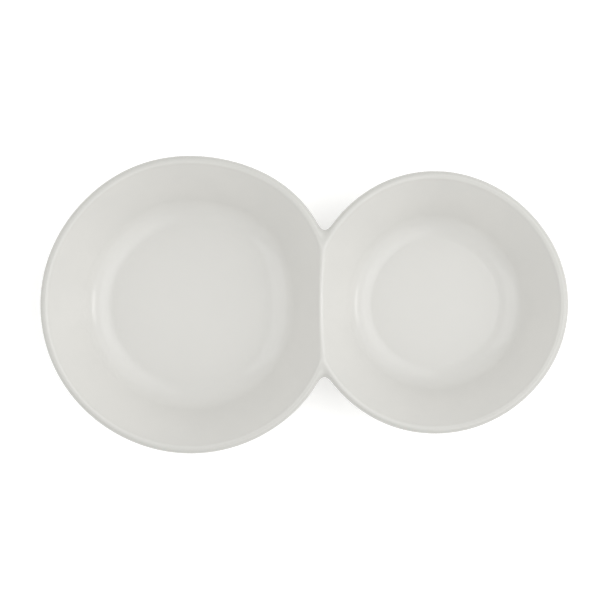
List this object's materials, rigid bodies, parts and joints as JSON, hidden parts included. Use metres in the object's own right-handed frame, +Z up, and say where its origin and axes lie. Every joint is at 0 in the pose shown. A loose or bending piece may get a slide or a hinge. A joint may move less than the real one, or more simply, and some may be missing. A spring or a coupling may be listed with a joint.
{
  "type": "chip and dip server",
  "caption": "Ceramic serving dish: a large round chip bowl and a smaller dip bowl that share a low rounded ridge, with rounded lips, flat floors and ring feet.",
  "frame": {"origin": "on the table, under the middle of the dish's bounding box", "axes": "+X along the dish from the large bowl to the small bowl, +Y across it, +Z up out of the bowls"},
  "size_m": [0.3618, 0.204, 0.06],
  "materials": {
    "glaze": "gloss off-white glaze",
    "bare_foot": "unglazed fired clay"
  },
  "bodies": {
    "root": {"large_bowl": "glaze", "small_bowl": "glaze", "large_foot_ring": "bare_foot", "small_foot_ring": "bare_foot"}
  },
  "joints": []
}
